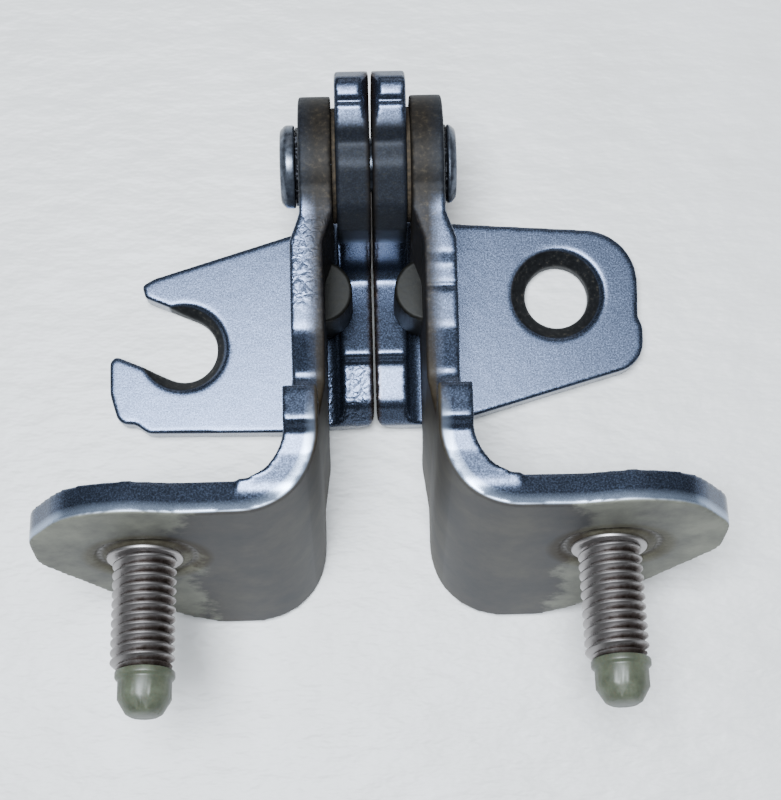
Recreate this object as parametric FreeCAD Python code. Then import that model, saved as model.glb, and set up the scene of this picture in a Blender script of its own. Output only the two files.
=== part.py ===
import FreeCAD, Part
import math
import os

# Double friction stay hinge, millimetres, +Z up.
# Two body brackets stand back to back on their flanges, and one rivet through
# both carries a swinging arm on each side. Each arm ends in a foot with a
# threaded stud. Right-hand pieces are drawn, and left-hand ones mirrored.
# X runs across the hinge, Y from the studs to the pivot, and the flanges
# rest on Z = 0.

V = FreeCAD.Vector

# ---- driving dimensions ----------------------------------------------------
pivot_height = 26.0          # rivet axis above the flanges' underside
seam_gap = 0.3               # between the two brackets

bracket_t = 4.4              # bracket plate and flange thickness
bracket_bend_r = 1.6         # inside radius where the plate turns into the flange
flange_near = -31.2          # flange root, nearest the studs, from the rivet axis
flange_far = -2.2            # flange root, nearest the rivet
flange_hole_x = 26.1         # right flange: centre of the bolt hole
flange_hole_y = -13.1
flange_hole_d = 9.0
flange_hole_sink = 2.0       # width and depth of the countersink
hook_x = 26.6                # left flange: centre of the open slot's round end
hook_y = -19.6
hook_d = 9.2
hook_turn = 23.0             # the slot's mouth rises by this many degrees
hook_sink = 1.6              # width of the round countersink

saddle_height = 9.6          # plate edge under the stop lug, at its near end
saddle_fall = 1.4            # it falls by this towards the rivet
nose_height = 36.6           # top of the stop nose
nose_roll = 1.1              # corner rolled off the nose beside the seam

arm_t = 4.2                  # arm wall and foot thickness
arm_angle = 15.2             # foot leans back by this at rest
arm_reach = 49.3             # rivet axis to the foot's front face
ear_r = 9.0                  # arm eye, outer radius
joggle_1 = 1.3               # outward steps of the arm wall
joggle_2 = 0.8
arm_bend_r = 5.8             # inside radius where the wall turns into the foot
foot_top = 3.2               # foot's upper edge above the rivet axis, along the foot
foot_height = 42.2
foot_span = 43.3             # foot tip from the centre plane
flange_clear = 0.8           # arm wall's lower edge above the flange

pin_d = 7.0
pin_head_d = 10.8
pin_head_t = 1.9             # set head, left
pin_upset_t = 1.2            # upset head, right
pin_clearance = 0.03         # radial, rivet in bush
bush_wall = 1.0
washer_t = 0.5               # friction washer between plate and arm
washer_d = 15.0
spring_t = 0.5               # disc spring under each rivet head
spring_d = 10.2
side_clearance = 0.05        # each side of an arm

stud_d = 8.0
stud_pitch = 1.25
stud_x = 29.2
stud_drop = 15.0             # stud axis below the foot's upper edge
stud_length = 20.3           # in front of the foot
stud_collar_d = 9.6
stud_collar_t = 0.4
stud_groove_in = 10.8        # ring pressed into the foot round the collar
stud_groove_out = 13.4
stud_groove_depth = 0.5
stud_head_d = 13.0
stud_head_t = 1.8
stud_core_d = 4.0            # stud's own end inside the pilot cap
cap_l = 5.4                  # pilot cap over the stud's end
cap_d = 6.7
cap_tip_d = 4.3
cap_cone_l = 2.0
cap_end_t = 0.8

lug_r = 4.2                  # stop lug on the arm's inner side
lug_reach = 3.6              # how far it stands out of the wall
lug_y = -15.6                # its axis from the rivet axis, along Y
lug_height = 11.4
lug_gap = 0.15               # lug to plate edge at rest

# ---- sizes that follow -----------------------------------------------------
plate_in = seam_gap / 2
plate_out = plate_in + bracket_t
ear_in = plate_out + washer_t + side_clearance
ear_out = ear_in + arm_t
spring_in = ear_out + side_clearance
head_in = spring_in + spring_t
pin_r = pin_d / 2
bush_in_r = pin_r + pin_clearance
bush_out_r = pin_r + bush_wall
wall_mid = ear_in + joggle_1         # wall's inner face beside the lug
wall_end = wall_mid + joggle_2       # wall's inner face at the foot
bend_out_r = arm_bend_r + arm_t
bend_x = wall_end + bend_out_r       # centre of the foot bend
foot_back = arm_reach - arm_t


# ---- helpers ---------------------------------------------------------------
def rounded_face(corners, place):
    """Closed face from (u, v, radius) corners; place(u, v) gives the point."""
    edges = []
    runs = []
    count = len(corners)
    for i, (u, v, radius) in enumerate(corners):
        here = V(u, v, 0)
        before = V(*corners[i - 1][:2], 0) - here
        after = V(*corners[(i + 1) % count][:2], 0) - here
        if radius <= 0:
            runs.append((here, here))
            continue
        half = before.getAngle(after) / 2
        before.normalize()
        after.normalize()
        setback = radius / math.tan(half)
        start = here + before * setback
        end = here + after * setback
        middle_way = before + after
        middle_way.normalize()
        crown = here + middle_way * (radius / math.sin(half) - radius)
        edges.append(Part.Arc(place(*start[:2]), place(*crown[:2]), place(*end[:2])).toShape())
        runs.append((start, end))
    for i in range(count):
        start = runs[i - 1][1]
        end = runs[i][0]
        if (end - start).Length > 1e-6:
            edges.append(Part.LineSegment(place(*start[:2]), place(*end[:2])).toShape())
    return Part.Face(Part.Wire(Part.__sortEdges__(edges)))


def prism_x(corners, x_from, x_to):
    """Side outline (y, z, radius) given a width along X."""
    return rounded_face(corners, lambda y, z: V(x_from, y, z)).extrude(V(x_to - x_from, 0, 0))


def prism_y(corners, y_from, y_to):
    """Front outline (x, z, radius) given a depth along Y."""
    return rounded_face(corners, lambda x, z: V(x, y_from, z)).extrude(V(0, y_to - y_from, 0))


def prism_z(corners, z_from, z_to):
    """Plan outline (x, y, radius) given a height along Z."""
    return rounded_face(corners, lambda x, y: V(x, y, z_from)).extrude(V(0, 0, z_to - z_from))


def ring_x(x_from, x_to, outer_r, inner_r=0.0):
    """Disc or washer about the rivet axis."""
    length = x_to - x_from
    ring = Part.makeCylinder(outer_r, length, V(x_from, 0, 0), V(1, 0, 0))
    if inner_r > 0:
        ring = ring.cut(Part.makeCylinder(inner_r, length, V(x_from, 0, 0), V(1, 0, 0)))
    return ring


def turned(profile, base, axis):
    """Turned piece: (radius, distance) pairs revolved about axis from base."""
    points = [V(r, 0, d) for r, d in profile]
    points.append(points[0])
    solid = Part.Face(Part.makePolygon(points)).revolve(V(0, 0, 0), V(0, 0, 1), 360)
    solid.Placement = FreeCAD.Placement(base, FreeCAD.Rotation(V(0, 0, 1), axis))
    return solid


def box_between(low, high):
    """Box from its lowest and highest corners."""
    return Part.makeBox(high[0] - low[0], high[1] - low[1], high[2] - low[2], V(*low))


def left_of(shape):
    """Mirror image across the centre plane."""
    return shape.mirror(V(0, 0, 0), V(1, 0, 0))


def soften(shape, radius, wanted):
    """Round the edges that wanted(edge) picks."""
    edges = [edge for edge in shape.Edges if wanted(edge)]
    return shape.makeFillet(radius, edges)


# ---- bracket ---------------------------------------------------------------
def bracket_side():
    """Plate outline in Y, Z about the rivet axis: low saddle, pivot boss, nose."""
    floor = -pivot_height
    saddle = floor + saddle_height
    nose = nose_height - pivot_height
    return [
        (flange_near, floor, 0), (flange_near, saddle - 5.2, 2.5),
        (-28.8, saddle - 2.3, 1.6), (-23.0, saddle - 1.4, 0.6), (-22.2, saddle + 0.1, 0.6),
        (-10.4, saddle - saddle_fall, 1.8), (-8.8, 0.5, 3.0), (-7.2, 4.8, 3.0), (-2.0, 7.9, 3.0),
        (0.8, 7.7, 0.8), (2.4, nose - 1.4, 1.2), (5.2, nose - 0.5, 0.4),
        (5.7, nose - 1.1, 0.3), (6.1, nose - 0.2, 0.4), (8.4, nose, 1.5), (10.2, nose - 2.6, 1.4),
        (10.8, -3.0, 6.0), (4.0, -13.0, 9.0), (flange_far, floor + 6.4, 3.0),
        (flange_far, floor, 0)]


def hole_flange_plan():
    """Right flange outline in X, Y: a blunt tongue around the bolt hole."""
    return [
        (flange_root(), flange_near, 0), (13.9, -30.1, 4.0), (37.9, -23.3, 4.5),
        (37.9, -18.0, 0.8), (37.3, -16.6, 0.8), (37.5, -4.4, 7.6), (flange_root(), flange_far, 0)]


def hook_flange_plan():
    """Left flange outline in X, Y, as if on the right: two prongs around the slot."""
    return [
        (flange_root(), flange_near, 0), (12.0, -31.9, 8.0), (31.6, -31.6, 1.5),
        (33.4, -30.3, 1.0), (35.7, -30.2, 1.8), (36.9, -26.0, 5.0), (36.9, -20.8, 1.3),
        (34.0, -20.4, 1.0), (31.8, -12.6, 0.6), (32.4, -10.6, 0.7), (30.6, -9.6, 1.5),
        (flange_root(), flange_far, 0)]


def flange_root():
    """Where the bend ends and the flat flange begins."""
    return plate_out + bracket_bend_r


def bracket(flange_plan):
    """Plate and flange bent from one strip."""
    floor = -pivot_height
    high = nose_height
    root = flange_root()
    section = [
        (plate_in, high, 0), (plate_in, floor, bracket_bend_r + bracket_t), (foot_span, floor, 0),
        (foot_span, floor + bracket_t, 0), (plate_out, floor + bracket_t, bracket_bend_r),
        (plate_out, high, 0)]
    strip = prism_y(section, -arm_reach, arm_reach)
    plate = strip.common(prism_x(bracket_side(), 0, root))
    flange = strip.common(prism_z(flange_plan, floor - 1, floor + bracket_t + 1))
    shape = plate.fuse(flange).removeSplitter()
    nose = high - pivot_height
    groove = [
        (0, nose + 1, 0), (plate_in + nose_roll, nose + 1, 0),
        (plate_in + nose_roll, nose, 0), (0, nose - 2 * nose_roll, 0)]
    return shape.cut(ring_x(0, root, pin_r)).cut(prism_y(groove, 0, ear_r + bracket_t))


def flange_bore(x, y, radius, sink):
    """Cutter for a bolt hole with a round countersink on the upper face."""
    floor = -pivot_height
    top = floor + bracket_t
    hole = Part.makeCylinder(radius, bracket_t + 2, V(x, y, floor - 1))
    cone = Part.makeCone(radius, radius + sink, flange_hole_sink, V(x, y, top - flange_hole_sink))
    return hole.fuse(cone)


def hole_bracket():
    """Right bracket, with the bolt hole."""
    shape = bracket(hole_flange_plan())
    return shape.cut(flange_bore(flange_hole_x, flange_hole_y, flange_hole_d / 2, flange_hole_sink))


def hook_bracket():
    """Left bracket, with the slot open at its outer end, drawn on the right."""
    shape = bracket(hook_flange_plan())
    floor = -pivot_height
    radius = hook_d / 2
    way = 22.0
    slot = [(0, -radius, 0), (way, -radius, 0), (way, radius, 0), (0, radius, 0)]
    mouth = prism_z(slot, floor - 1, floor + bracket_t + 1)
    mouth.rotate(V(0, 0, 0), V(0, 0, 1), hook_turn)
    mouth.translate(V(hook_x, hook_y, 0))
    shape = shape.cut(flange_bore(hook_x, hook_y, radius, hook_sink))
    return left_of(shape.cut(mouth))


# ---- arm -------------------------------------------------------------------
def arm_plan():
    """Wall, bend and foot in X, Y: the eye, two outward joggles, then the foot."""
    inner = [(ear_in, ear_r + 1), (ear_in, -9.5), (wall_mid, -13.0), (wall_mid, -29.0), (wall_end, -34.5)]
    outline = [(x, y, 0) for x, y in inner]
    outline.append((wall_end, -arm_reach, bend_out_r))
    outline.append((foot_span + 1, -arm_reach, 0))
    outline.append((foot_span + 1, -foot_back, 0))
    outline.append((wall_end + arm_t, -foot_back, arm_bend_r))
    outline.extend((x + arm_t, y, 0) for x, y in reversed(inner))
    return outline


def in_arm(y, z):
    """Y and Z in the arm's own frame of a place given at rest, from the rivet axis."""
    lean = math.radians(arm_angle)
    return (y * math.cos(lean) - z * math.sin(lean), y * math.sin(lean) + z * math.cos(lean))


def arm_side(notches):
    """Wall outline in Y, Z: eye, upper edge with its notches, tab, and the long lower edge."""
    low = foot_top - foot_height
    upper = [
        (0, ear_r, 0), (-6.5, 6.2, 0), (-10.2, 4.8, 2.5)]
    upper.extend(notches)
    upper.extend([
        (-28.8, -3.2, 2.0), (-34.6, -1.8, 0.8), (-34.9, 8.3, 0.5), (-39.4, 7.7, 0.8),
        (-40.1, 6.0, 0.6), (-42.6, 5.2, 1.5), (-46.5, foot_top, 4.0), (-arm_reach - 1, foot_top, 0)])
    belly = bracket_t + flange_clear - pivot_height
    lower = [
        (-arm_reach - 1, low, 0), (-foot_back, low, 1.0), (*in_arm(-34.9, belly - 4.5), 3.0),
        (*in_arm(-34.2, belly), 2.0), (*in_arm(-17.0, belly), 8.0), (-5.0, -ear_r + 1.2, 0),
        (0, -ear_r, 0)]
    return upper + lower


def foot_front():
    """Foot outline in X, Z, seen along the stud: a leaning teardrop."""
    low = foot_top - foot_height
    return [
        (bend_x, foot_top, 0), (24.0, foot_top - 0.2, 12.0), (30.6, foot_top + 1.0, 14.0),
        (38.0, foot_top - 0.6, 9.0), (foot_span, foot_top - 8.6, 6.0),
        (foot_span, foot_top - 16.4, 7.0), (33.2, low + 10.4, 12.0), (25.6, low + 2.4, 5.0),
        (22.0, low, 5.0), (bend_x, low, 0)]


def arm(notches):
    """One arm, square to its foot, with the rivet axis at Y = Z = 0."""
    strip = prism_z(arm_plan(), -2 * foot_height, 2 * foot_height)
    wall = strip.common(prism_x(arm_side(notches), 0, bend_x))
    eye = strip.common(ring_x(0, bend_x, ear_r))
    foot = strip.common(prism_y(foot_front(), -arm_reach - 1, 0))
    shape = wall.fuse([eye, foot]).removeSplitter()
    shape = shape.cut(ring_x(0, bend_x, bush_out_r))
    stud_base = V(stud_x, -arm_reach, stud_z())
    stud_hole = Part.makeCylinder(stud_d / 2, arm_t, stud_base, V(0, 1, 0))
    return shape.cut(stud_hole).cut(pressed_ring(stud_base))


def pressed_ring(base):
    """Cutter for the rounded ring pressed into the foot round the stud."""
    middle = (stud_groove_in + stud_groove_out) / 4
    half = (stud_groove_out - stud_groove_in) / 4
    profile = [(middle - half, -0.01), (middle - half / 2, stud_groove_depth),
               (middle + half / 2, stud_groove_depth), (middle + half, -0.01)]
    return turned(profile, base, V(0, 1, 0))


def stud_z():
    """Height of the stud's axis in the arm's own frame."""
    return foot_top - stud_drop


def closed(shape):
    """Turn a piece of the arm from its own frame to the arm's rest angle."""
    turned_shape = shape.copy()
    turned_shape.rotate(V(0, 0, 0), V(1, 0, 0), -arm_angle)
    return turned_shape


def stop_lug():
    """Half-round lug welded inside the arm; it lands on the bracket's saddle."""
    bottom = saddle_height - pivot_height + lug_gap
    centre_x = wall_mid - lug_reach + lug_r
    lug = Part.makeCylinder(lug_r, lug_height, V(centre_x, lug_y, bottom))
    lug = soften(lug, 0.5, lambda edge: edge.Length > 6 and edge.CenterOfMass.z > bottom + lug_height / 2
                 and abs(edge.BoundBox.ZLength) < 0.01)
    keep = box_between((0, -arm_reach, -pivot_height), (wall_mid + joggle_2, 0, pivot_height))
    wall = prism_z(arm_plan(), -2 * foot_height, 2 * foot_height)
    return lug.common(keep).cut(closed(wall))


# ---- stud ------------------------------------------------------------------
def stud():
    """M8 stud: head behind the foot, collar in front, thread rings and a slim end."""
    crest = stud_d / 2
    root = crest - 0.613 * stud_pitch
    thread_end = stud_length - cap_l
    head = -arm_t - stud_head_t
    profile = [(0, head), (stud_head_d / 2 - 0.5, head), (stud_head_d / 2, head + 0.5),
               (stud_head_d / 2, -arm_t), (crest, -arm_t), (crest, 0), (stud_collar_d / 2, 0),
               (stud_collar_d / 2 - 0.3, stud_collar_t), (root, stud_collar_t)]
    turns = int((thread_end - stud_collar_t) / stud_pitch)
    first = thread_end - turns * stud_pitch
    for turn in range(turns):
        at = first + turn * stud_pitch
        profile += [(root, at), (crest, at + 0.44 * stud_pitch), (crest, at + 0.56 * stud_pitch)]
    profile += [(root, thread_end), (stud_core_d / 2, thread_end),
                (stud_core_d / 2, stud_length - cap_end_t), (0, stud_length - cap_end_t)]
    return turned(profile, V(stud_x, -arm_reach, stud_z()), V(0, -1, 0))


def pilot_cap():
    """Moulded cap on the stud's end that guides it into its hole."""
    start = stud_length - cap_l
    root = stud_d / 2 - 0.613 * stud_pitch
    profile = [(stud_core_d / 2, start), (root + 0.5, start), (root + 0.5, start + 0.7),
               (cap_d / 2, start + 1.1), (cap_d / 2, stud_length - cap_cone_l),
               (cap_tip_d / 2 + 0.2, stud_length - 0.3), (cap_tip_d / 2 - 0.3, stud_length),
               (0, stud_length), (0, stud_length - cap_end_t),
               (stud_core_d / 2, stud_length - cap_end_t)]
    return turned(profile, V(stud_x, -arm_reach, stud_z()), V(0, -1, 0))


# ---- rivet and what is on it -----------------------------------------------
def rivet():
    """One solid rivet: a set head on the left, an upset head on the right."""
    reach = head_in + pin_head_t
    upset = head_in + pin_upset_t
    head_r = pin_head_d / 2
    edge = 0.7
    profile = [(0, -reach), (head_r - edge, -reach), (head_r, -reach + edge), (head_r, -head_in),
               (pin_r, -head_in), (pin_r, head_in), (head_r - 0.3, head_in), (head_r - 0.3, upset - edge),
               (head_r - 0.3 - edge, upset), (0, upset)]
    return turned(profile, V(0, 0, 0), V(1, 0, 0))


def disc_spring():
    """Slightly dished spring washer between the arm and a rivet head."""
    lift = 0.12
    profile = [(pin_r, spring_in + lift), (spring_d / 2, spring_in), (spring_d / 2, head_in - lift),
               (pin_r, head_in)]
    return turned(profile, V(0, 0, 0), V(1, 0, 0))


def in_place(shape):
    """Move a piece from the rivet's frame up to the row's height."""
    placed = shape.copy()
    placed.translate(V(0, 0, pivot_height))
    return placed


right_notches = [(-14.7, 3.5, 0.6), (-16.2, 2.45, 0.6), (-18.3, 1.85, 0.3), (-18.6, 1.4, 0.2),
                 (-19.2, 1.65, 0.3), (-23.7, 0.45, 3.0)]
left_notches = [(-24.1, 0.9, 4.0)]

bush = ring_x(ear_in, ear_out, bush_out_r, bush_in_r)
friction_washer = ring_x(plate_out, plate_out + washer_t, washer_d / 2, pin_r)

nodes = {
    "right_bracket": hole_bracket(),
    "left_bracket": hook_bracket(),
    "pivot_rivet": rivet(),
    "right_friction_washer": friction_washer,
    "left_friction_washer": left_of(friction_washer),
    "right_disc_spring": disc_spring(),
    "left_disc_spring": left_of(disc_spring()),
    "right_arm": closed(arm(right_notches)),
    "left_arm": closed(left_of(arm(left_notches))),
    "right_pivot_bush": bush,
    "left_pivot_bush": left_of(bush),
    "right_stud": closed(stud()),
    "left_stud": closed(left_of(stud())),
    "right_pilot_cap": closed(pilot_cap()),
    "left_pilot_cap": closed(left_of(pilot_cap())),
    "right_stop_lug": stop_lug(),
    "left_stop_lug": left_of(stop_lug()),
}

# The origin is under the middle of the whole hinge, on the face it rests on.
whole = Part.makeCompound(list(nodes.values())).optimalBoundingBox(False, False)
shift_y = -(whole.YMin + whole.YMax) / 2

os.makedirs("parts", exist_ok=True)
for name, shape in nodes.items():
    placed = in_place(shape)
    placed.translate(V(0, shift_y, 0))
    solid_count = len(placed.Solids)
    print(name, "solids", solid_count, "valid", placed.isValid(), "volume", round(placed.Volume, 1))
    placed.exportStep("parts/" + name + ".step")
print("rivet axis at y", round(shift_y, 4), "z", pivot_height)
print("lowest point", round(whole.ZMin + pivot_height, 3), "width", round(whole.XLength, 2),
      "depth", round(whole.YLength, 2), "height", round(whole.ZLength, 2))
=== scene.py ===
import math

import bpy
from mathutils import Matrix, Vector


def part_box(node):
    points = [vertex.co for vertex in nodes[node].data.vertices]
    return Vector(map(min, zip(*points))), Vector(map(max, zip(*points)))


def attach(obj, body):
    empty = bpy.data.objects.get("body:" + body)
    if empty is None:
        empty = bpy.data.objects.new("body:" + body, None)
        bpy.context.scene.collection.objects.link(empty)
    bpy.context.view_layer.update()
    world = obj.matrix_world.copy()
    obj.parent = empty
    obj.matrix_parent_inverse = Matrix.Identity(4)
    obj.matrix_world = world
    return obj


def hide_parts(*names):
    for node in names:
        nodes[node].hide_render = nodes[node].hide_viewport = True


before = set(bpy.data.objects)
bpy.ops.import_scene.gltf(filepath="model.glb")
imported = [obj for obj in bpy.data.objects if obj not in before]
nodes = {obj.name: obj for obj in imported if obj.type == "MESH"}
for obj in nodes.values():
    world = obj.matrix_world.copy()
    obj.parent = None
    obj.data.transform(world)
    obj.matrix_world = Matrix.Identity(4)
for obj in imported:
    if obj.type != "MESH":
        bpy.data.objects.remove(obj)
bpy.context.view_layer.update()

MM = 0.001

# ---- sizes ---------------------------------------------------------------------
rivet_low, rivet_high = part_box("pivot_rivet")
pivot = (rivet_low + rivet_high) / 2          # middle of the rivet, on the centre plane
cap_low, cap_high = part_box("right_pilot_cap")
stud_x = (cap_low.x + cap_high.x) / 2
arm_lean = math.radians(15.2)                 # the feet lean back by this at rest
arm_reach = 49.3 * MM                         # rivet axis to a foot's front face
foot_t = 4.2 * MM
bend_x = 17.2 * MM                            # middle of the foot bend, from the centre plane
bend_r = 10.0 * MM                            # outer radius of the foot bend
stud_drop = 11.8 * MM                         # stud axis below the rivet axis, along the foot
thread_pitch = 1.25 * MM
thread_crest = 4.0 * MM
thread_root = 3.23 * MM
thread_flank = 0.44 * thread_pitch            # one flank, along the axis
thread_flat = 0.12 * thread_pitch             # crest, along the axis
thread_length = 14.7 * MM                     # threaded part in front of the foot
collar_r = 4.8 * MM
collar_t = 0.4 * MM                           # in front of the foot
collar_sink = 0.5 * MM
head_r = 6.5 * MM
head_t = 1.8 * MM                             # behind the foot
round_steps = 64                              # sides of a turned part
bolt_places = ((pivot + Vector((26.1, -13.1, 0)) * MM, 6.5 * MM),     # bolt hole, countersink's rim
               (pivot + Vector((-26.6, -19.6, 0)) * MM, 6.2 * MM))    # hook
wall_grid = 0.285 * MM                        # mesh size of the pressed plates
floor_gap = 0.2 * MM                          # under the flanges

# where each mark of wear, painted shade and painted highlight starts and where it is full
eye_dust_and_shade_reach = (10.5 * MM, 9.4 * MM)        # from the rivet's axis
seam_reach = (1.0 * MM, 0.3 * MM)             # from the centre plane
wall_dust_reach = (8.8 * MM, 7.0 * MM)        # from the centre plane
film_reach = (22 * MM, 33 * MM)               # in front of the rivet, along the arm
edge_highlight_reach = (37 * MM, 41 * MM)             # in front of the rivet, along the arm
edge_highlight_depth = (1.7 * MM, 0.8 * MM)           # under the foot's outer skin
chalk_reach = (31 * MM, 33 * MM)              # from the centre plane, before the ragged edge
chalk_raggedness = 16 * MM
stud_grime_reach = (10.5 * MM, 5.5 * MM)      # from the stud's axis
stud_groove_reach = (8.5 * MM, 7.5 * MM)      # from the stud's axis
craze_side = (11.4 * MM, 10.6 * MM)           # from the centre plane
craze_fade = 2 * MM


# ---- node helpers --------------------------------------------------------------
def srgb(code):
    """Linear RGBA from an sRGB hex value."""
    levels = [int(code[i:i + 2], 16) / 255 for i in (0, 2, 4)]
    linear = [c / 12.92 if c <= 0.04045 else ((c + 0.055) / 1.055) ** 2.4 for c in levels]
    return (*linear, 1.0)


def add(tree, kind, links=(), sockets=(), stops=(), out=0, **settings):
    """Add one node and give back one of its outputs.

    links are (socket, source), sockets are (socket, value), stops are the
    colours of a ramp, and the rest are the node's own settings.
    """
    node = tree.nodes.new(kind)
    for name, value in settings.items():
        setattr(node, name, value)
    for socket, value in sockets:
        node.inputs[socket].default_value = value
    for socket, source in links:
        tree.links.new(source, node.inputs[socket])
    for number, (position, code) in enumerate(stops):
        elements = node.color_ramp.elements
        element = elements[number] if number < len(elements) else elements.new(position)
        element.position = position
        element.color = srgb(code)
    return node.outputs[out]


def new_material(name):
    """A node material: its tree, its shader, and the piece's own coordinates."""
    material = bpy.data.materials.new(name)
    material.use_nodes = True
    tree = material.node_tree
    place = add(tree, "ShaderNodeTexCoord", out="Object")
    return material, tree, tree.nodes["Principled BSDF"], place


def across(size_mm):
    """Texture scale for a pattern whose grains are this many millimetres across."""
    return 1 / (size_mm * MM)


def settle(shader, **values):
    """Set the shader's own sockets, named with underscores for spaces."""
    for name, value in values.items():
        shader.inputs[name.replace("_", " ")].default_value = value


# ---- baked paint, layer by layer ---------------------------------------------------
def in_arm_frame(tree, place):
    """X, Y and Z turned with the arm, so that its foot stands upright."""
    turned = add(tree, "ShaderNodeVectorRotate", [("Vector", place)],
                 [("Center", pivot), ("Angle", arm_lean)], rotation_type="X_AXIS")
    return add(tree, "ShaderNodeSeparateXYZ", [("Vector", turned)]).node.outputs


def flake_enamel(tree, place):
    """The flakes' pattern, and the blue-grey enamel's colour with them."""
    # real flakes are far finer; these are as coarse as they need to be to show
    flakes = add(tree, "ShaderNodeTexNoise", [("Vector", place)],
                 [("Scale", across(0.22)), ("Detail", 2.0), ("Roughness", 0.6)])
    clouds = add(tree, "ShaderNodeTexNoise", [("Vector", place)],
                 [("Scale", across(5.0)), ("Detail", 3.0)])
    colour = add(tree, "ShaderNodeValToRGB", [("Fac", flakes)],
                 stops=[(0.30, "343A46"), (0.50, "444C5E"), (0.70, "5D6A83")])
    clouded = add(tree, "ShaderNodeMixRGB", [("Fac", clouds), ("Color1", colour)],
                  [("Color2", srgb("2E333E"))])
    tone = add(tree, "ShaderNodeMixRGB", [("Color1", colour), ("Color2", clouded)], [("Fac", 0.35)])
    return flakes, tone


def seam_dusted(tree, tone, from_middle, specks, amount):
    """Brown dust along the seam between the brackets."""
    seam = add(tree, "ShaderNodeMapRange", [("Value", from_middle)],
               [("From Min", seam_reach[0]), ("From Max", seam_reach[1])])
    broken = add(tree, "ShaderNodeMath", [(0, seam), (1, specks)], operation="MULTIPLY")
    line = add(tree, "ShaderNodeMath", [(0, broken)], [(1, 1.7 * amount)], operation="MULTIPLY",
               use_clamp=True)
    return add(tree, "ShaderNodeMixRGB", [("Fac", line), ("Color1", tone)], [("Color2", srgb("3C3025"))])


def eye_dust_and_shade(tree, place, amount):
    """How much dust and painted shade lie round the rivet: amount on the eyes, none further out."""
    from_rivet = add(tree, "ShaderNodeVectorMath", [(0, place)], [(1, pivot)], operation="SUBTRACT")
    side_on = add(tree, "ShaderNodeVectorMath", [(0, from_rivet)], [(1, (0, 1, 1))], operation="MULTIPLY")
    reach = add(tree, "ShaderNodeVectorMath", [(0, side_on)], operation="LENGTH", out="Value")
    return add(tree, "ShaderNodeMapRange", [("Value", reach)],
               [("From Min", eye_dust_and_shade_reach[0]), ("From Max", eye_dust_and_shade_reach[1]), ("To Max", amount)])


def bend_distance(tree, from_middle, leant):
    """Distance from the foot bend's axis, straight on past the bend: bend_r all over the outer skin."""
    across_bend = add(tree, "ShaderNodeMath", [(1, from_middle)], [(0, bend_x)], operation="SUBTRACT")
    sideways = add(tree, "ShaderNodeMath", [(0, across_bend)], [(1, 0.0)], operation="MAXIMUM")
    along_bend = add(tree, "ShaderNodeMath", [(1, leant["Y"])],
                     [(0, pivot.y - arm_reach + bend_r)], operation="SUBTRACT")
    forward = add(tree, "ShaderNodeMath", [(0, along_bend)], [(1, 0.0)], operation="MAXIMUM")
    bend = add(tree, "ShaderNodeCombineXYZ", [("X", sideways), ("Y", forward)])
    return add(tree, "ShaderNodeVectorMath", [(0, bend)], operation="LENGTH", out="Value")


def stud_distance(tree, from_middle, leant):
    """Distance from the stud's axis."""
    to_stud = add(tree, "ShaderNodeCombineXYZ", [("X", from_middle), ("Z", leant["Z"])])
    off_axis = add(tree, "ShaderNodeVectorMath", [(0, to_stud)],
                   [(1, (stud_x, 0, pivot.z - stud_drop))], operation="SUBTRACT")
    return add(tree, "ShaderNodeVectorMath", [(0, off_axis)], operation="LENGTH", out="Value")


def film_tone(tree, place, from_middle, from_stud, specks):
    """Colour of the film on a foot: grey-brown, chalky round the stud, grimy by its collar."""
    chalk = add(tree, "ShaderNodeTexNoise", [("Vector", place)],
                [("Scale", across(8.0)), ("Detail", 7.0), ("Roughness", 0.65)])
    thin = add(tree, "ShaderNodeValToRGB", [("Fac", chalk)],
               stops=[(0.34, "2D261B"), (0.50, "393124"), (0.68, "474030")])
    chalky = add(tree, "ShaderNodeValToRGB", [("Fac", chalk)],
                 stops=[(0.34, "4C483B"), (0.50, "656354"), (0.68, "7C7B6A")])
    ragged = add(tree, "ShaderNodeMath", [(0, chalk)], [(1, chalk_raggedness)], operation="MULTIPLY")
    outward = add(tree, "ShaderNodeMath", [(0, from_middle), (1, ragged)], operation="ADD")
    patch = add(tree, "ShaderNodeMapRange", [("Value", outward)],
                [("From Min", chalk_reach[0]), ("From Max", chalk_reach[1])])
    film = add(tree, "ShaderNodeMixRGB", [("Fac", patch), ("Color1", thin), ("Color2", chalky)])
    by_collar = add(tree, "ShaderNodeMapRange", [("Value", from_stud)],
                    [("From Min", stud_grime_reach[0]), ("From Max", stud_grime_reach[1]),
                     ("To Max", 1.1)])
    grime = add(tree, "ShaderNodeMath", [(0, by_collar), (1, specks)], operation="MULTIPLY",
                use_clamp=True)
    return add(tree, "ShaderNodeMixRGB", [("Fac", grime), ("Color1", film)], [("Color2", srgb("2C241B"))])


def painted_edge_highlight(tree, tone, skin, from_stud, leant, amount):
    """A painted highlight along the foot's front edge, and grime in the groove round the stud."""
    depth = add(tree, "ShaderNodeMapRange", [("Value", skin)],
                [("From Min", bend_r - edge_highlight_depth[0]), ("From Max", bend_r - edge_highlight_depth[1])])
    on_foot = add(tree, "ShaderNodeMapRange", [("Value", leant["Y"])],
                  [("From Min", pivot.y - edge_highlight_reach[0]), ("From Max", pivot.y - edge_highlight_reach[1]),
                   ("To Max", amount)])
    edge_highlight = add(tree, "ShaderNodeMath", [(0, depth), (1, on_foot)], operation="MULTIPLY")
    groove = add(tree, "ShaderNodeMapRange", [("Value", from_stud)],
                 [("From Min", stud_groove_reach[0]), ("From Max", stud_groove_reach[1])])
    # pale blue-grey painted highlight on the front edge, dark brown grime in the groove by the stud
    highlight_and_grime_tone = add(tree, "ShaderNodeMixRGB", [("Fac", groove)],
                    [("Color1", srgb("98A7BF")), ("Color2", srgb("2C241B"))])
    return add(tree, "ShaderNodeMixRGB", [("Fac", edge_highlight), ("Color1", tone), ("Color2", highlight_and_grime_tone)])


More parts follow.
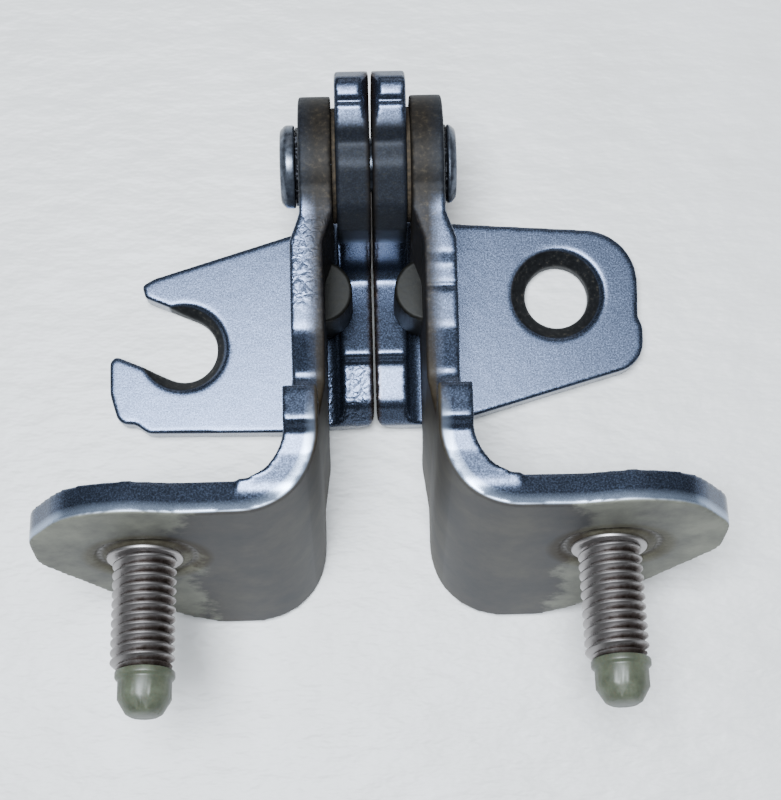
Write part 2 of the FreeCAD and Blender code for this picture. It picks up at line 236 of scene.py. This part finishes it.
def bolt_wear(tree, place, amount):
    """Where bolts have scuffed the countersinks of the bolt hole and of the hook."""
    worn = []
    for centre, radius in bolt_places:
        away = add(tree, "ShaderNodeVectorMath", [(0, place)], [(1, centre)], operation="SUBTRACT")
        level = add(tree, "ShaderNodeVectorMath", [(0, away)], [(1, (1, 1, 0))], operation="MULTIPLY")
        gap = add(tree, "ShaderNodeVectorMath", [(0, level)], operation="LENGTH", out="Value")
        worn.append(add(tree, "ShaderNodeMapRange", [("Value", gap)],
                        [("From Min", radius), ("From Max", radius - 0.3 * MM), ("To Max", amount)]))
    return add(tree, "ShaderNodeMath", [(0, worn[0]), (1, worn[1])], operation="MAXIMUM")


def crazed_relief(tree, place, axes, from_middle, start, end, under):
    """Crazed, lifting paint on the left-hand side, from start to end in front of the rivet."""
    sway = add(tree, "ShaderNodeTexNoise", [("Vector", place)], [("Scale", across(1.8)), ("Detail", 3.0)])
    swayed = add(tree, "ShaderNodeVectorMath", [(0, sway), (2, place)],
                 [(1, (1.6 * MM, 1.6 * MM, 1.6 * MM))], operation="MULTIPLY_ADD")
    cells = add(tree, "ShaderNodeTexVoronoi", [("Vector", swayed)], [("Scale", across(1.1))],
                feature="DISTANCE_TO_EDGE")
    left_hand = add(tree, "ShaderNodeMapRange", [("Value", axes["X"])],
                    [("From Min", -0.5 * MM), ("From Max", -1.5 * MM)])
    inboard = add(tree, "ShaderNodeMapRange", [("Value", from_middle)],
                  [("From Min", craze_side[0]), ("From Max", craze_side[1])])
    begun = add(tree, "ShaderNodeMapRange", [("Value", axes["Y"])],
                [("From Min", pivot.y - start), ("From Max", pivot.y - start - craze_fade)])
    not_ended = add(tree, "ShaderNodeMapRange", [("Value", axes["Y"])],
                    [("From Min", pivot.y - end), ("From Max", pivot.y - end + craze_fade)])
    widthways = add(tree, "ShaderNodeMath", [(0, left_hand), (1, inboard)], operation="MULTIPLY")
    lengthways = add(tree, "ShaderNodeMath", [(0, begun), (1, not_ended)], operation="MULTIPLY")
    crazed = add(tree, "ShaderNodeMath", [(0, widthways), (1, lengthways)], operation="MULTIPLY")
    crack = add(tree, "ShaderNodeMapRange", [("Value", cells)], [("From Max", 0.35)])
    lift = add(tree, "ShaderNodeMath", [(0, crack), (1, crazed)], operation="MULTIPLY")
    return add(tree, "ShaderNodeBump", [("Height", lift), ("Normal", under)],
               [("Strength", 0.45), ("Distance", 0.08 * MM)])


def baked_paint(name, foot_film, rivet_dust_and_shade, wall_dust, bracket_dust, crazed_from, crazed_to):
    """Blue-grey metallic baked enamel on pressed steel.

    Aluminium flakes give a fine sparkle and a bright sheen where the light falls
    straight back. Brown dust sits in the seam, dust dulls the metal round the
    rivet and the arms' inner walls, and round the rivet it is near black as
    painted shade. The outer side of each foot has only a thin chalky film over
    zinc, and a painted highlight runs along its front edge. The amounts go from
    0 to 1, and the paint is crazed between two distances from the rivet.
    """
    material, tree, shader, place = new_material(name)
    axes = add(tree, "ShaderNodeSeparateXYZ", [("Vector", place)]).node.outputs
    from_middle = add(tree, "ShaderNodeMath", [(0, axes["X"])], operation="ABSOLUTE")
    leant = in_arm_frame(tree, place)
    skin = bend_distance(tree, from_middle, leant)
    from_stud = stud_distance(tree, from_middle, leant)
    specks = add(tree, "ShaderNodeTexNoise", [("Vector", place)],
                 [("Scale", across(0.7)), ("Detail", 4.0), ("Roughness", 0.7)])

    # how much of each layer there is
    eye = eye_dust_and_shade(tree, place, rivet_dust_and_shade)
    wall = add(tree, "ShaderNodeMapRange", [("Value", from_middle)],
               [("From Min", wall_dust_reach[0]), ("From Max", wall_dust_reach[1]), ("To Max", wall_dust)])
    bore = bolt_wear(tree, place, bracket_dust)
    outer = add(tree, "ShaderNodeMapRange", [("Value", skin)],
                [("From Min", bend_r - 0.5 * MM), ("From Max", bend_r - 0.2 * MM)])
    faded = add(tree, "ShaderNodeMapRange", [("Value", leant["Y"])],
                [("From Min", pivot.y - film_reach[0]), ("From Max", pivot.y - film_reach[1]),
                 ("To Max", foot_film)])
    film = add(tree, "ShaderNodeMath", [(0, outer), (1, faded)], operation="MULTIPLY")

    # colours, each layer over the last
    flakes, tone = flake_enamel(tree, place)
    tone = seam_dusted(tree, tone, from_middle, specks, bracket_dust)
    # near-black tone round the rivet: dull dust, darkened further as painted shade
    eye_dust_and_shade_tone = add(tree, "ShaderNodeValToRGB", [("Fac", specks)],
                stops=[(0.36, "0B0B0C"), (0.56, "141517"), (0.72, "272621")])
    tone = add(tree, "ShaderNodeMixRGB", [("Fac", eye), ("Color1", tone), ("Color2", eye_dust_and_shade_tone)])
    # painted highlight along each foot's front edge
    tone = painted_edge_highlight(tree, tone, skin, from_stud, leant, foot_film)
    brown = add(tree, "ShaderNodeValToRGB", [("Fac", specks)],
                stops=[(0.36, "171410"), (0.56, "241F19"), (0.74, "40392D")])
    tone = add(tree, "ShaderNodeMixRGB", [("Fac", wall), ("Color1", tone), ("Color2", brown)])
    scuffed = add(tree, "ShaderNodeValToRGB", [("Fac", specks)],
                  stops=[(0.40, "0E0F11"), (0.58, "1B1C1E"), (0.74, "4C4840")])
    tone = add(tree, "ShaderNodeMixRGB", [("Fac", bore), ("Color1", tone), ("Color2", scuffed)])
    filmed = film_tone(tree, place, from_middle, from_stud, specks)
    tone = add(tree, "ShaderNodeMixRGB", [("Fac", film), ("Color1", tone), ("Color2", filmed)])
    tree.links.new(tone, shader.inputs["Base Color"])

    # dust and film are dull and hide the metal
    dusts = add(tree, "ShaderNodeMath", [(0, film), (1, eye)], operation="ADD")
    marks = add(tree, "ShaderNodeMath", [(0, bore), (1, wall)], operation="ADD")
    dull = add(tree, "ShaderNodeMath", [(0, dusts), (1, marks)], operation="ADD", use_clamp=True)
    metal = add(tree, "ShaderNodeMapRange", [("Value", dull)], [("To Min", 0.85), ("To Max", 0.35)])
    tree.links.new(metal, shader.inputs["Metallic"])
    gloss = add(tree, "ShaderNodeMapRange", [("Value", flakes)], [("To Min", 0.20), ("To Max", 0.34)])
    rough = add(tree, "ShaderNodeMapRange", [("Value", dull), ("To Min", gloss)], [("To Max", 0.6)])
    tree.links.new(rough, shader.inputs["Roughness"])
    settle(shader, Specular_IOR_Level=0.25)

    # relief: orange peel, flakes, and lifted paint
    peel = add(tree, "ShaderNodeTexNoise", [("Vector", place)], [("Scale", across(1.6)), ("Detail", 2.0)])
    waves = add(tree, "ShaderNodeBump", [("Height", peel)], [("Strength", 0.25), ("Distance", 0.05 * MM)])
    grain = add(tree, "ShaderNodeBump", [("Height", flakes), ("Normal", waves)],
                [("Strength", 0.14), ("Distance", 0.03 * MM)])
    relief = crazed_relief(tree, place, axes, from_middle, crazed_from, crazed_to, grain)
    tree.links.new(relief, shader.inputs["Normal"])
    return material


# ---- the other materials -----------------------------------------------------------
def zinc_plate():
    """Zinc-plated turned steel: painted highlight on the crests, brown grime and painted shade in the
    thread's roots.
    """
    material, tree, shader, place = new_material("zinc_plated_steel")
    axes = add(tree, "ShaderNodeSeparateXYZ", [("Vector", place)]).node.outputs
    from_middle = add(tree, "ShaderNodeMath", [(0, axes["X"])], operation="ABSOLUTE")
    leant = in_arm_frame(tree, place)
    from_stud = stud_distance(tree, from_middle, leant)
    # lighter towards the crests as painted highlight, darker in the roots as brown grime and painted shade;
    # the head behind the foot stays light
    crest_highlight = add(tree, "ShaderNodeMapRange", [("Value", from_stud)],
                [("From Min", thread_root), ("From Max", thread_crest)])
    behind = add(tree, "ShaderNodeMapRange", [("Value", leant["Y"])],
                 [("From Min", pivot.y - arm_reach), ("From Max", pivot.y - arm_reach + MM)])
    highlight_and_clean_head = add(tree, "ShaderNodeMath", [(0, crest_highlight), (1, behind)], operation="MAXIMUM")
    grime = add(tree, "ShaderNodeTexNoise", [("Vector", place)],
                [("Scale", across(1.1)), ("Detail", 5.0), ("Roughness", 0.65)])
    bright = add(tree, "ShaderNodeMath", [(0, highlight_and_clean_head), (1, grime)], operation="ADD")
    colour = add(tree, "ShaderNodeValToRGB", [("Fac", bright)],
                 stops=[(0.35, "30261F"), (0.62, "5C524E"), (0.95, "86817F"), (1.0, "A09C9B")])
    tree.links.new(colour, shader.inputs["Base Color"])
    rough = add(tree, "ShaderNodeMapRange", [("Value", bright)],
                [("From Min", 0.4), ("From Max", 1.3), ("To Min", 0.58), ("To Max", 0.42)])
    tree.links.new(rough, shader.inputs["Roughness"])
    bump = add(tree, "ShaderNodeBump", [("Height", grime)], [("Strength", 0.2), ("Distance", 0.04 * MM)])
    tree.links.new(bump, shader.inputs["Normal"])
    settle(shader, Metallic=1.0)
    return material


def cap_nylon():
    """Moulded nylon, grey-green and waxy, with paler scuffs."""
    material, tree, shader, place = new_material("moulded_nylon")
    scuffs = add(tree, "ShaderNodeTexNoise", [("Vector", place)],
                 [("Scale", across(1.8)), ("Detail", 6.0), ("Roughness", 0.7)])
    colour = add(tree, "ShaderNodeValToRGB", [("Fac", scuffs)],
                 stops=[(0.34, "3E4236"), (0.5, "484C3E"), (0.66, "535849")])
    tree.links.new(colour, shader.inputs["Base Color"])
    bump = add(tree, "ShaderNodeBump", [("Height", scuffs)], [("Strength", 0.3), ("Distance", 0.06 * MM)])
    tree.links.new(bump, shader.inputs["Normal"])
    settle(shader, Roughness=0.42, Subsurface_Weight=0.08, Subsurface_Scale=0.8 * MM)
    return material


def plain_metal(name, dark, light, grain_mm, metallic, roughness, relief):
    """Turned or pressed metal whose tone wanders between two values."""
    material, tree, shader, place = new_material(name)
    grain = add(tree, "ShaderNodeTexNoise", [("Vector", place)],
                [("Scale", across(grain_mm)), ("Detail", 5.0), ("Roughness", 0.65)])
    colour = add(tree, "ShaderNodeValToRGB", [("Fac", grain)], stops=[(0.35, dark), (0.68, light)])
    tree.links.new(colour, shader.inputs["Base Color"])
    rough = add(tree, "ShaderNodeMapRange", [("Value", grain)],
                [("To Min", roughness - 0.08), ("To Max", roughness + 0.1)])
    tree.links.new(rough, shader.inputs["Roughness"])
    bump = add(tree, "ShaderNodeBump", [("Height", grain)], [("Strength", relief), ("Distance", 0.05 * MM)])
    tree.links.new(bump, shader.inputs["Normal"])
    settle(shader, Metallic=metallic, Specular_IOR_Level=0.3)
    return material


bracket_paint = baked_paint("baked_paint_on_brackets", foot_film=0.0, rivet_dust_and_shade=0.85, wall_dust=0.0,
                            bracket_dust=1.0, crazed_from=22 * MM, crazed_to=50 * MM)
arm_paint = baked_paint("baked_paint_on_arms", foot_film=0.92, rivet_dust_and_shade=0.9, wall_dust=0.9,
                        bracket_dust=0.0, crazed_from=7 * MM, crazed_to=21 * MM)
zinc = zinc_plate()
nylon = cap_nylon()
rivet_paint = plain_metal("gloss_paint_on_rivet", "3F434C", "676E7A", 0.8, 0.8, 0.3, 0.15)
bronze = plain_metal("sintered_bronze", "453723", "6B5435", 0.4, 0.95, 0.42, 0.3)
lining = plain_metal("friction_lining", "1E1913", "42382B", 0.6, 0.0, 0.8, 0.5)
spring_steel = plain_metal("spring_steel", "1F2023", "34353A", 1.2, 0.9, 0.5, 0.02)
bare_steel = plain_metal("oiled_bare_steel", "0C0C0B", "1C1B17", 0.6, 0.4, 0.55, 0.6)


# ---- pieces ----------------------------------------------------------------------
def alone(piece):
    """Make this piece the only one selected."""
    bpy.ops.object.select_all(action="DESELECT")
    piece.select_set(True)
    bpy.context.view_layer.objects.active = piece


def working_copy(node_name):
    """Copy of a CAD node with its loose triangles joined into one skin."""
    source = nodes[node_name]
    piece = source.copy()
    piece.data = source.data.copy()
    piece.parent = None
    piece.name = node_name + "_finished"
    bpy.context.scene.collection.objects.link(piece)
    alone(piece)
    bpy.ops.object.mode_set(mode="EDIT")
    bpy.ops.mesh.select_all(action="SELECT")
    bpy.ops.mesh.remove_doubles(threshold=0.001 * MM)
    bpy.ops.mesh.dissolve_limited(angle_limit=math.radians(0.5))
    bpy.ops.object.mode_set(mode="OBJECT")
    return piece


def apply_modifier(piece, kind, **settings):
    """Add a modifier with its settings and apply it."""
    modifier = piece.modifiers.new(kind.lower(), kind)
    for name, value in settings.items():
        setattr(modifier, name, value)
    alone(piece)
    bpy.ops.object.modifier_apply(modifier=modifier.name)


def finish_piece(piece, node_name, body, material):
    """Give the piece its material, hide its CAD node and attach the piece to the node's body."""
    piece.data.materials.clear()
    piece.data.materials.append(material)
    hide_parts(node_name)
    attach(piece, body)


def pressed_plate(node_name, body, material):
    """Pressed steel with every edge rolled over, as stamping and paint leave it."""
    piece = working_copy(node_name)
    apply_modifier(piece, "REMESH", mode="VOXEL", voxel_size=wall_grid, use_smooth_shade=True)
    apply_modifier(piece, "SMOOTH", factor=0.5, iterations=7)
    finish_piece(piece, node_name, body, material)


def turned_part(node_name, body, material, edge_mm):
    """Turned part with its corners broken by a small radius."""
    piece = working_copy(node_name)
    if edge_mm > 0:
        apply_modifier(piece, "BEVEL", width=edge_mm * MM, segments=3, limit_method="ANGLE",
                       angle_limit=math.radians(35), use_clamp_overlap=True)
    alone(piece)
    bpy.ops.object.shade_smooth_by_angle(angle=math.radians(40))
    finish_piece(piece, node_name, body, material)


def thread_spiral(name):
    """M8 thread: one pitch of its profile, screwed up the axis, with closed ends."""
    depth = thread_crest - thread_root
    steps = [(depth, 0, thread_flank), (0, 0, thread_flat), (-depth, 0, thread_flank)]
    bpy.ops.object.select_all(action="DESELECT")
    bpy.ops.mesh.primitive_plane_add(size=MM)
    piece = bpy.context.object
    piece.name = name
    bpy.ops.object.mode_set(mode="EDIT")
    bpy.ops.mesh.select_mode(type="VERT")
    bpy.ops.mesh.select_all(action="SELECT")
    bpy.ops.mesh.merge(type="CENTER")
    bpy.ops.transform.translate(value=(thread_root, 0, -2 * thread_pitch))
    for step in steps:
        bpy.ops.mesh.extrude_region_move(TRANSFORM_OT_translate={"value": step})
    bpy.ops.object.mode_set(mode="OBJECT")
    turns = int(thread_length / thread_pitch) + 3
    apply_modifier(piece, "SCREW", axis="Z", screw_offset=thread_pitch, iterations=turns, steps=48,
                   render_steps=48, use_merge_vertices=True, merge_threshold=0.001 * MM,
                   use_smooth_shade=True)
    bpy.ops.object.mode_set(mode="EDIT")
    bpy.ops.mesh.select_all(action="SELECT")
    bpy.ops.mesh.remove_doubles(threshold=0.002 * MM)
    bpy.ops.mesh.fill_holes(sides=0)
    bpy.ops.mesh.quads_convert_to_tris()
    bpy.ops.mesh.normals_make_consistent(inside=False)
    bpy.ops.object.mode_set(mode="OBJECT")
    return piece


def chamfered_blank():
    """Bar that the thread is cut to: flat at the foot, chamfered at the end."""
    bpy.ops.object.select_all(action="DESELECT")
    bpy.ops.mesh.primitive_cylinder_add(vertices=round_steps, radius=thread_crest + 0.1 * MM,
                                        depth=thread_length + MM,
                                        location=(0, 0, (thread_length - MM) / 2))
    blank = bpy.context.object
    bpy.ops.object.transform_apply(location=True, rotation=True, scale=True)
    bpy.ops.object.mode_set(mode="EDIT")
    bpy.ops.mesh.select_all(action="DESELECT")
    bpy.ops.mesh.select_mode(type="FACE")
    bpy.ops.object.mode_set(mode="OBJECT")
    for face in blank.data.polygons:
        face.select = face.normal.z > 0.9
    bpy.ops.object.mode_set(mode="EDIT")
    bpy.ops.mesh.bevel(offset=1.0 * MM, affect="EDGES", segments=1)
    bpy.ops.object.mode_set(mode="OBJECT")
    return blank


def stud_body(node_name, body, side):
    """Stud: rolled thread, a collar in front of the foot and a head behind it."""
    piece = thread_spiral(node_name + "_threaded")
    blank = chamfered_blank()
    apply_modifier(piece, "BOOLEAN", object=blank, operation="INTERSECT", solver="EXACT")
    bpy.data.objects.remove(blank)
    bpy.ops.object.select_all(action="DESELECT")
    bpy.ops.mesh.primitive_cylinder_add(vertices=round_steps, radius=collar_r, depth=collar_t + collar_sink,
                                        location=(0, 0, (collar_t - collar_sink) / 2))
    collar = bpy.context.object
    apply_modifier(collar, "BEVEL", width=0.3 * MM, segments=3, limit_method="ANGLE")
    bpy.ops.object.select_all(action="DESELECT")
    bpy.ops.mesh.primitive_cylinder_add(vertices=round_steps, radius=head_r, depth=head_t,
                                        location=(0, 0, -foot_t - head_t / 2))
    head = bpy.context.object
    apply_modifier(head, "BEVEL", width=0.5 * MM, segments=4, limit_method="ANGLE")
    alone(piece)
    collar.select_set(True)
    head.select_set(True)
    bpy.ops.object.join()
    upright = Matrix.Rotation(math.radians(90), 4, "X")
    out = Matrix.Translation((side * stud_x, -arm_reach, -stud_drop))
    piece.matrix_world = Matrix.Translation(pivot) @ Matrix.Rotation(-arm_lean, 4, "X") @ out @ upright
    alone(piece)
    bpy.ops.object.transform_apply(location=True, rotation=True, scale=True)
    bpy.ops.object.shade_smooth_by_angle(angle=math.radians(32))
    finish_piece(piece, node_name, body, zinc)


for side_name, side in (("left", -1), ("right", 1)):
    arm_body = side_name + "_arm"
    pressed_plate(side_name + "_bracket", "brackets", bracket_paint)
    pressed_plate(side_name + "_arm", arm_body, arm_paint)
    stud_body(side_name + "_stud", arm_body, side)
    turned_part(side_name + "_pilot_cap", arm_body, nylon, 0.12)
    turned_part(side_name + "_stop_lug", arm_body, bare_steel, 0.3)
    turned_part(side_name + "_pivot_bush", arm_body, bronze, 0.0)
    turned_part(side_name + "_friction_washer", "brackets", lining, 0.1)
    turned_part(side_name + "_disc_spring", "brackets", spring_steel, 0.0)
turned_part("pivot_rivet", "brackets", rivet_paint, 0.45)


# ---- floor, light and camera ------------------------------------------------------
def soft_light(name, energy, size, colour, place, aim):
    """Square area light at place, pointing at aim."""
    data = bpy.data.lights.new(name, "AREA")
    data.energy = energy
    data.size = size
    data.color = colour
    light = bpy.data.objects.new(name, data)
    light.location = place
    light.rotation_euler = (Vector(aim) - Vector(place)).to_track_quat("-Z", "Y").to_euler()
    bpy.context.scene.collection.objects.link(light)


def foam_floor():
    """Sheet of white packing foam: faintly glossy, with shallow welts and drawn-out bubbles."""
    bpy.ops.object.select_all(action="DESELECT")
    bpy.ops.mesh.primitive_plane_add(size=3.0, location=(0, 0, -floor_gap))
    floor = bpy.context.object
    floor.name = "floor"
    material, tree, shader, place = new_material("white_packing_foam")
    patches = add(tree, "ShaderNodeTexNoise", [("Vector", place)],
                  [("Scale", across(14.0)), ("Detail", 4.0)])
    colour = add(tree, "ShaderNodeValToRGB", [("Fac", patches)], stops=[(0.3, "D6D5D3"), (0.7, "DFDEDD")])
    tree.links.new(colour, shader.inputs["Base Color"])
    drawn_out = add(tree, "ShaderNodeMapping", [("Vector", place)], [("Scale", (0.45, 1.0, 1.0))])
    bubbles = add(tree, "ShaderNodeTexNoise", [("Vector", drawn_out)],
                  [("Scale", across(3.2)), ("Detail", 3.0), ("Roughness", 0.55)])
    welts = add(tree, "ShaderNodeBump", [("Height", patches)], [("Strength", 0.25), ("Distance", 0.6 * MM)])
    skin = add(tree, "ShaderNodeBump", [("Height", bubbles), ("Normal", welts)],
               [("Strength", 0.4), ("Distance", 1.0 * MM)])
    tree.links.new(skin, shader.inputs["Normal"])
    settle(shader, Roughness=0.42)
    floor.data.materials.append(material)


def room():
    """Dim, slightly warm light from the room all round."""
    world = bpy.data.worlds.new("dim_room")
    world.use_nodes = True
    background = world.node_tree.nodes["Background"]
    background.inputs["Color"].default_value = (1.0, 0.97, 0.92, 1.0)
    background.inputs["Strength"].default_value = 0.07
    bpy.context.scene.world = world


foam_floor()
room()
soft_light("overhead", energy=27.5, size=0.36, colour=(0.86, 0.93, 1.0),
           place=(-0.10, -0.03, 1.0), aim=(0, 0.0, 0))
soft_light("far_window", energy=0.5, size=0.4, colour=(1.0, 0.94, 0.86),
           place=(0.1, 0.6, 0.35), aim=(0, 0.05, 0))


def steep_camera():
    """Camera high above the studs, looking steeply down with a slight roll."""
    place = (-0.00234, -0.03983, 0.27193)
    forward = Vector((0.0166, 0.1557, -0.9877))
    roll = math.radians(4.7)
    data = bpy.data.cameras.new("camera")
    data.sensor_fit = "HORIZONTAL"
    data.sensor_width = 36.0
    data.lens = 89.55
    data.clip_start = 0.01
    camera = bpy.data.objects.new("camera", data)
    turn = forward.to_track_quat("-Z", "Y").to_matrix() @ Matrix.Rotation(roll, 3, "Z")
    camera.matrix_world = Matrix.Translation(place) @ turn.to_4x4()
    bpy.context.scene.collection.objects.link(camera)
    bpy.context.scene.camera = camera


steep_camera()
